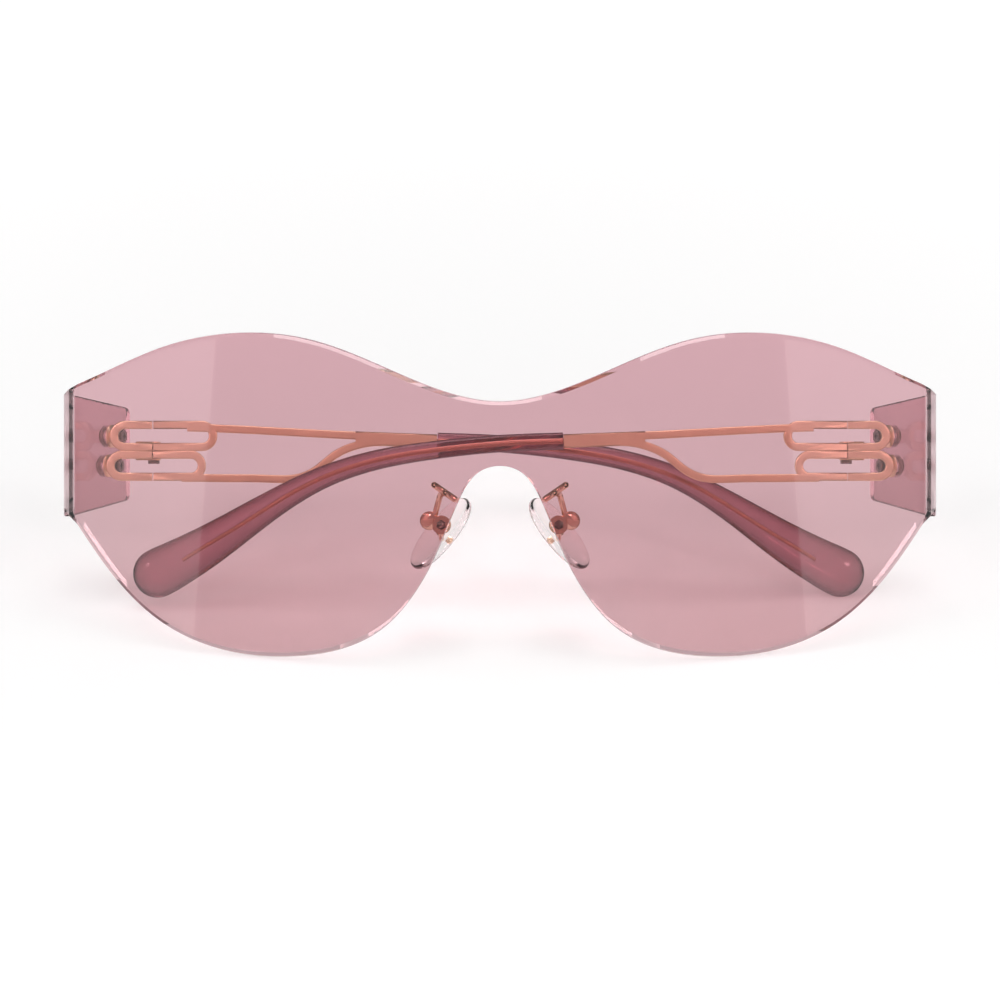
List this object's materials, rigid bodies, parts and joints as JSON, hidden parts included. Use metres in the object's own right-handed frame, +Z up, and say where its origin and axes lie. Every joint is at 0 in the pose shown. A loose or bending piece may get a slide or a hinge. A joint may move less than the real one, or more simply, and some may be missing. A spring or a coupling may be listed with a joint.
{
  "type": "shield sunglasses",
  "caption": "Rimless one-piece tinted shield sunglasses standing folded on the lens edge and temple tips, with split-bar metal temples, clear paddle tips and rocking nose pads.",
  "frame": {"origin": "centre of the bounding box on the floor it stands on", "axes": "+X towards the right in the front view (the wearer's left), +Y towards the back, +Z up"},
  "size_m": [0.15, 0.0484, 0.051],
  "materials": {
    "lens": "polished, clear pink tint",
    "rose_metal": "polished rose-gold plating",
    "screw_metal": "dark bronze plating",
    "clear_plastic": "clear",
    "tip_plastic": "polished, translucent pink",
    "pad_silicone": "clear, smooth"
  },
  "bodies": {
    "front": {"shield_lens": "lens", "left_end_piece": "rose_metal", "left_lens_screws": "screw_metal", "left_lens_nuts": "screw_metal", "left_lens_washers": "clear_plastic", "left_lens_bushes": "clear_plastic", "left_hinge_screw": "screw_metal", "left_hinge_washers": "clear_plastic", "left_pad_arm": "rose_metal", "left_pad_screw": "screw_metal", "right_end_piece": "rose_metal", "right_lens_screws": "screw_metal", "right_lens_nuts": "screw_metal", "right_lens_washers": "clear_plastic", "right_lens_bushes": "clear_plastic", "right_hinge_screw": "screw_metal", "right_hinge_washers": "clear_plastic", "right_pad_arm": "rose_metal", "right_pad_screw": "screw_metal"},
    "left_temple": {"left_temple_arm": "rose_metal", "left_temple_tip": "tip_plastic"},
    "left_pad": {"left_pad_insert": "rose_metal", "left_nose_pad": "pad_silicone"},
    "right_temple": {"right_temple_arm": "rose_metal", "right_temple_tip": "tip_plastic"},
    "right_pad": {"right_pad_insert": "rose_metal", "right_nose_pad": "pad_silicone"}
  },
  "joints": [
    {"name": "left_temple_fold", "type": "hinge", "parent": "front", "child": "left_temple", "pos_m": [-0.0604, 0.01252, 0.02388], "axis": [0, 0.3852, 0.9228], "range_deg": [0, 93.8]},
    {"name": "right_temple_fold", "type": "hinge", "parent": "front", "child": "right_temple", "pos_m": [0.0604, 0.01252, 0.02388], "axis": [0, -0.3852, -0.9228], "range_deg": [0, 96.2]},
    {"name": "left_pad_rock", "type": "hinge", "parent": "front", "child": "left_pad", "pos_m": [-0.0099, -0.0115, 0.02006], "axis": [0, 0.9228, -0.3852], "range_deg": [-10, 10]},
    {"name": "right_pad_rock", "type": "hinge", "parent": "front", "child": "right_pad", "pos_m": [0.0099, -0.0115, 0.02006], "axis": [0, 0.9228, -0.3852], "range_deg": [-10, 10]}
  ]
}
